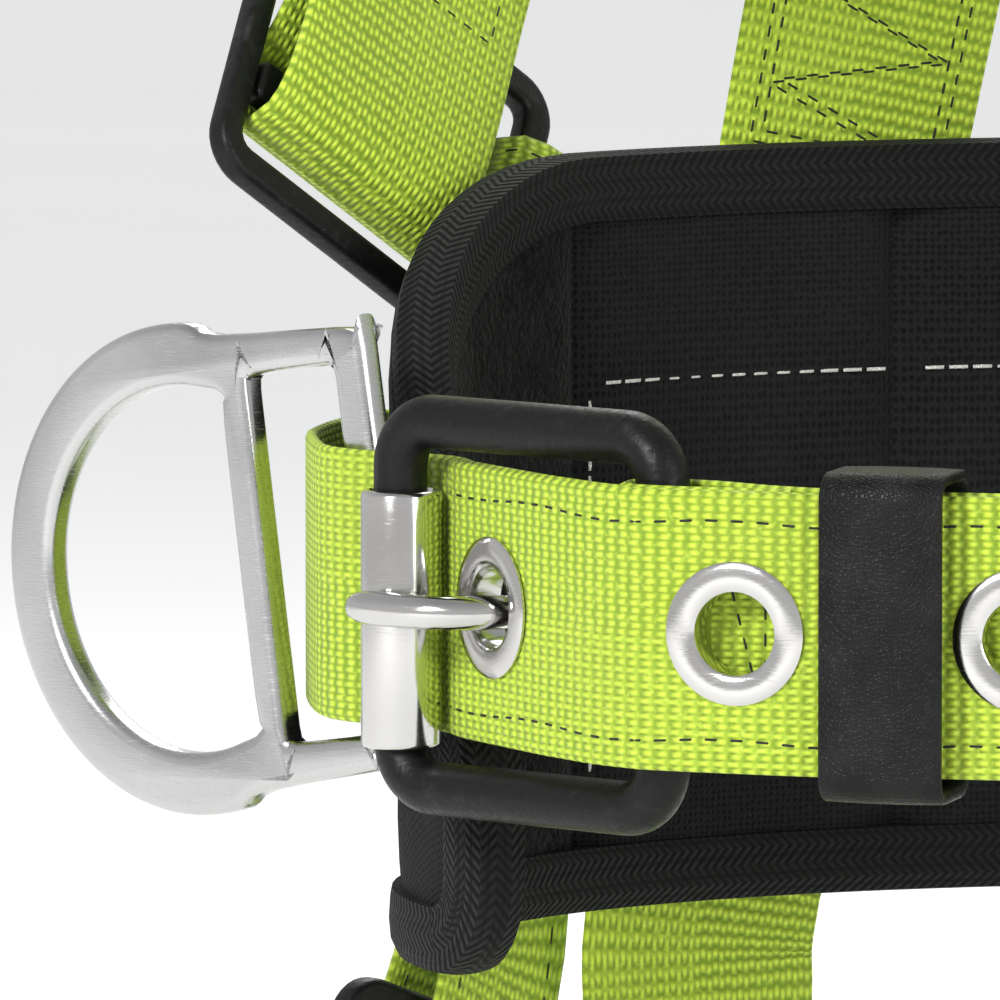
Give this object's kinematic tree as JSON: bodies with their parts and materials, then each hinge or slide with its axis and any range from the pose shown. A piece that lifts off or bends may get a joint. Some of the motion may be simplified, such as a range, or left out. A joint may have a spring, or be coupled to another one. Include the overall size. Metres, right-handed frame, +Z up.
{
  "type": "tree climbing harness",
  "caption": "Padded tree climbing harness: roller-buckle waist belt with hip rings, crossed shoulder straps, dorsal ring and two leg loops, in lime webbing.",
  "frame": {"origin": "centre of the wearer's waist at the belt's mid-height", "axes": "+Z up, the front of the harness faces -Y, the wearer's right is -X"},
  "size_m": [0.4178, 0.3048, 0.7199],
  "materials": {
    "webbing": "woven polyester webbing",
    "black_textile": "woven and mesh textile",
    "pad_foam": "closed cell foam under a cover",
    "powder_coat": "black powder coat on steel",
    "polished_steel": "polished steel",
    "satin_alloy": "satin forged alloy",
    "leather": "grained black leather",
    "black_plastic": "moulded black plastic"
  },
  "bodies": {
    "harness": {"waist_belt_webbing": "webbing", "belt_free_end_layer": "webbing", "belt_grommet_1": "polished_steel", "belt_grommet_2": "polished_steel", "belt_grommet_3": "polished_steel", "belt_grommet_4": "polished_steel", "belt_grommet_5": "polished_steel", "buckle_frame": "powder_coat", "pad_outer_cover": "black_textile", "pad_foam_core": "pad_foam", "pad_inner_lining": "black_textile", "pad_edge_binding": "black_textile", "belt_elastic_band_right": "black_textile", "belt_elastic_band_left": "black_textile", "shoulder_strap_right": "webbing", "shoulder_strap_left": "webbing", "side_strap_right": "webbing", "side_strap_left": "webbing", "leg_strap_right": "webbing", "leg_strap_left": "webbing", "torso_link_frame_right": "powder_coat", "torso_link_frame_left": "powder_coat", "leg_buckle_frame_right": "powder_coat", "leg_buckle_frame_left": "powder_coat", "dorsal_plate": "black_plastic", "chest_strap_right": "webbing", "chest_strap_left": "webbing", "chest_buckle_plate": "satin_alloy", "chest_buckle_frame": "satin_alloy"},
    "buckle_roller_body": {"buckle_roller": "polished_steel"},
    "buckle_tongue_body": {"buckle_tongue": "polished_steel"},
    "belt_leather_keeper_body": {"belt_leather_keeper": "leather"},
    "hip_dring_right_body": {"hip_dring_right": "satin_alloy"},
    "hip_dring_left_body": {"hip_dring_left": "satin_alloy"},
    "torso_link_grip_bar_right_body": {"torso_link_grip_bar_right": "powder_coat"},
    "torso_link_grip_bar_left_body": {"torso_link_grip_bar_left": "powder_coat"},
    "leg_buckle_grip_bar_right_body": {"leg_buckle_grip_bar_right": "powder_coat"},
    "leg_buckle_grip_bar_left_body": {"leg_buckle_grip_bar_left": "powder_coat"},
    "dorsal_dring_body": {"dorsal_dring": "satin_alloy"}
  },
  "joints": [
    {"name": "roller_spin", "type": "hinge", "parent": "harness", "child": "buckle_roller_body", "pos_m": [-0.14196, -0.04686, -0.0008], "axis": [0, 0, 1], "continuous": true},
    {"name": "tongue_rock", "type": "hinge", "parent": "harness", "child": "buckle_tongue_body", "pos_m": [-0.10008, -0.08394, -0.0008], "axis": [0, 0, 1], "range_deg": [0, 3]},
    {"name": "keeper_slide", "type": "slide", "parent": "harness", "child": "belt_leather_keeper_body", "axis": [0.9593, -0.2823, 0], "range_m": [0, 0.005]},
    {"name": "hip_dring_right_swing", "type": "hinge", "parent": "harness", "child": "hip_dring_right_body", "pos_m": [-0.146, -0.024, 0.006], "axis": [-0.1142, 0.1069, 0.9877], "range_deg": [0, 70]},
    {"name": "hip_dring_left_swing", "type": "hinge", "parent": "harness", "child": "hip_dring_left_body", "pos_m": [0.146, -0.024, 0.006], "axis": [-0.1142, -0.1069, -0.9877], "range_deg": [0, 70]},
    {"name": "torso_grip_right_slide", "type": "slide", "parent": "harness", "child": "torso_link_grip_bar_right_body", "axis": [0.1938, 0.6443, 0.7398], "range_m": [0, 0.0015]},
    {"name": "torso_grip_left_slide", "type": "slide", "parent": "harness", "child": "torso_link_grip_bar_left_body", "axis": [-0.1938, 0.6443, 0.7398], "range_m": [0, 0.0015]},
    {"name": "leg_grip_right_slide", "type": "slide", "parent": "harness", "child": "leg_buckle_grip_bar_right_body", "axis": [0.2353, 0.2453, 0.9405], "range_m": [0, 0.003]},
    {"name": "leg_grip_left_slide", "type": "slide", "parent": "harness", "child": "leg_buckle_grip_bar_left_body", "axis": [-0.2353, 0.2453, 0.9405], "range_m": [0, 0.003]},
    {"name": "dorsal_dring_swing", "type": "hinge", "parent": "harness", "child": "dorsal_dring_body", "pos_m": [0, 0.1267, 0.345], "axis": [1, 0, 0], "range_deg": [0, 120]}
  ]
}
